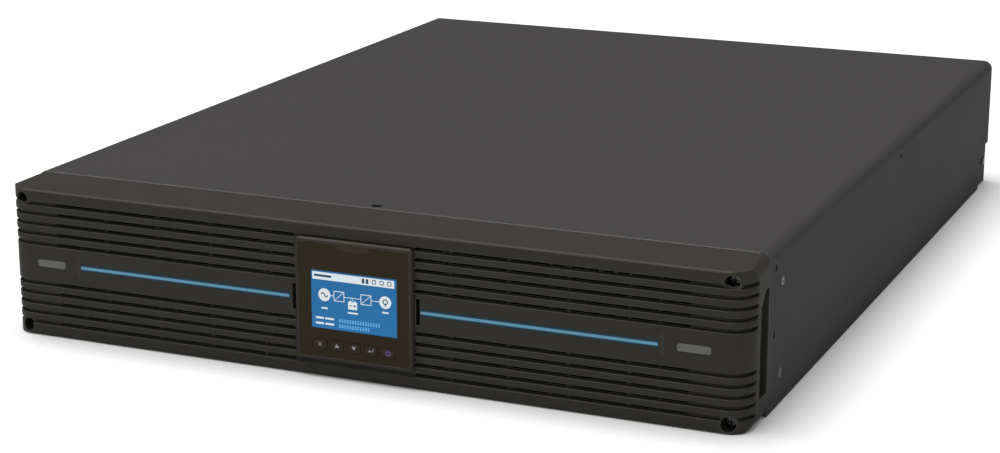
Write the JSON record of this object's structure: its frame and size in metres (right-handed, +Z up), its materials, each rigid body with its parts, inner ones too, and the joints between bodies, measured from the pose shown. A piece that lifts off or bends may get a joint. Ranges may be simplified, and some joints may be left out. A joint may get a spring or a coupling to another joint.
{
  "type": "uninterruptible power supply",
  "caption": "Low, wide double-conversion UPS case with a ribbed bezel, turning display, sliding battery tray and rear sockets, for a rack or tower.",
  "frame": {"origin": "centre of the footprint, at the height of the surface that the unit stands on", "axes": "+Z up, -Y out of the front bezel, +X to the right as seen from the front"},
  "size_m": [0.44, 0.5868, 0.088],
  "materials": {
    "case_paint": "fine-grained black powder coat",
    "zinc_sheet": "satin zinc-plated sheet",
    "black_sheet": "matt black paint on sheet steel",
    "dark_screw": "black zinc",
    "bright_screw": "bright zinc",
    "bezel_plastic": "warm black, finely textured",
    "blue_strip": "light blue with darker edges",
    "badge_plate": "brushed",
    "display_plastic": "satin black",
    "window_gloss": "gloss brown-black",
    "screen_blue": "lit blue display with a white status bar",
    "board_green": "solder mask",
    "lens_smoke": "smoked lens",
    "key_gloss": "satin black with a printed symbol",
    "battery_case": "dark grey moulded case",
    "tinned_metal": "tinned",
    "lead_red": "flexible insulation",
    "connector_grey": "moulded grey",
    "sink_aluminium": "as extruded",
    "chip_black": "moulded black",
    "can_sleeve": "dark shrink sleeve",
    "core_green": "painted powder core",
    "copper_wire": "enamelled copper",
    "tape_yellow": "yellow tape on a dark core",
    "relay_black": "moulded black",
    "film_red": "dipped red",
    "fan_plastic": "moulded black",
    "guard_chrome": "nickel-plated wire",
    "socket_plastic": "moulded black",
    "contact_nickel": "nickel-plated",
    "button_white": "moulded white",
    "port_metal": "nickel-plated shell",
    "terminal_green": "moulded green",
    "stud_brass": "plain"
  },
  "bodies": {
    "case": {"top_cover": "case_paint", "base_tray": "case_paint", "front_panel": "black_sheet", "bay_wall": "zinc_sheet", "rear_panel": "case_paint", "cover_screws": "dark_screw", "battery_socket": "connector_grey", "battery_cables": "lead_red", "main_board": "board_green", "board_standoffs": "tinned_metal", "heatsinks": "sink_aluminium", "power_transistors": "chip_black", "bus_capacitors": "can_sleeve", "choke_cores": "core_green", "choke_windings": "copper_wire", "transformer": "tape_yellow", "relays": "relay_black", "film_capacitors": "film_red", "control_board": "board_green", "fan_housings": "fan_plastic", "fan_guards": "guard_chrome", "rear_screws": "bright_screw", "outlet_bank_left": "socket_plastic", "outlet_bank_right": "socket_plastic", "large_outlet": "socket_plastic", "power_inlet": "socket_plastic", "inlet_pins": "contact_nickel", "breaker_body": "fan_plastic", "usb_port": "port_metal", "serial_port": "port_metal", "stop_terminal": "terminal_green", "slot_cover": "case_paint", "slot_thumbscrews": "bright_screw", "battery_port": "connector_grey", "ground_stud": "stud_brass"},
    "bezel": {"bezel": "bezel_plastic", "light_strips": "blue_strip", "badges": "badge_plate", "bezel_screws": "dark_screw"},
    "display_slider": {"display_carrier": "display_plastic"},
    "display": {"display_frame": "display_plastic", "display_window": "window_gloss", "display_screen": "screen_blue", "display_board": "board_green", "status_lens": "lens_smoke"},
    "battery_pack": {"battery_tray": "black_sheet", "tray_handle": "dark_screw", "tray_thumbscrews": "bright_screw", "battery_blocks": "battery_case", "battery_terminals": "tinned_metal", "battery_leads": "lead_red", "battery_plug": "connector_grey"},
    "fan_rotor_left": {"fan_rotor_left": "fan_plastic"},
    "fan_rotor_right": {"fan_rotor_right": "fan_plastic"},
    "breaker_button": {"breaker_button": "button_white"},
    "key_escape": {"key_escape": "key_gloss"},
    "key_up": {"key_up": "key_gloss"},
    "key_down": {"key_down": "key_gloss"},
    "key_enter": {"key_enter": "key_gloss"},
    "key_power": {"key_power": "key_gloss"}
  },
  "joints": [
    {"name": "tray_pull", "type": "slide", "parent": "case", "child": "battery_pack", "axis": [0, -1, 0], "range_m": [0, 0.42]},
    {"name": "bezel_pull", "type": "slide", "parent": "case", "child": "bezel", "axis": [0, -1, 0], "range_m": [0, 0.483]},
    {"name": "display_pull", "type": "slide", "parent": "bezel", "child": "display_slider", "axis": [0, -1, 0], "range_m": [0, 0.014]},
    {"name": "display_turn", "type": "hinge", "parent": "display_slider", "child": "display", "pos_m": [0.0007, -0.29064, 0.0442], "axis": [0, -1, 0], "range_deg": [0, 90]},
    {"name": "key_escape_press", "type": "slide", "parent": "display", "child": "key_escape", "axis": [0, 1, 0], "range_m": [0, 0.0006], "stiffness_N_per_m": 300},
    {"name": "key_up_press", "type": "slide", "parent": "display", "child": "key_up", "axis": [0, 1, 0], "range_m": [0, 0.0006], "stiffness_N_per_m": 300},
    {"name": "key_down_press", "type": "slide", "parent": "display", "child": "key_down", "axis": [0, 1, 0], "range_m": [0, 0.0006], "stiffness_N_per_m": 300},
    {"name": "key_enter_press", "type": "slide", "parent": "display", "child": "key_enter", "axis": [0, 1, 0], "range_m": [0, 0.0006], "stiffness_N_per_m": 300},
    {"name": "key_power_press", "type": "slide", "parent": "display", "child": "key_power", "axis": [0, 1, 0], "range_m": [0, 0.0006], "stiffness_N_per_m": 300},
    {"name": "fan_spin_left", "type": "hinge", "parent": "case", "child": "fan_rotor_left", "pos_m": [0.088, 0.27036, 0.0436], "axis": [0, 1, 0], "continuous": true},
    {"name": "fan_spin_right", "type": "hinge", "parent": "case", "child": "fan_rotor_right", "pos_m": [0.171, 0.27036, 0.0436], "axis": [0, 1, 0], "continuous": true},
    {"name": "breaker_reset", "type": "slide", "parent": "case", "child": "breaker_button", "axis": [0, 1, 0], "range_m": [0, 0.005]}
  ],
  "couplings": [
    {"joint": "bezel_pull", "follows": "tray_pull", "ratio": 1.15}
  ]
}
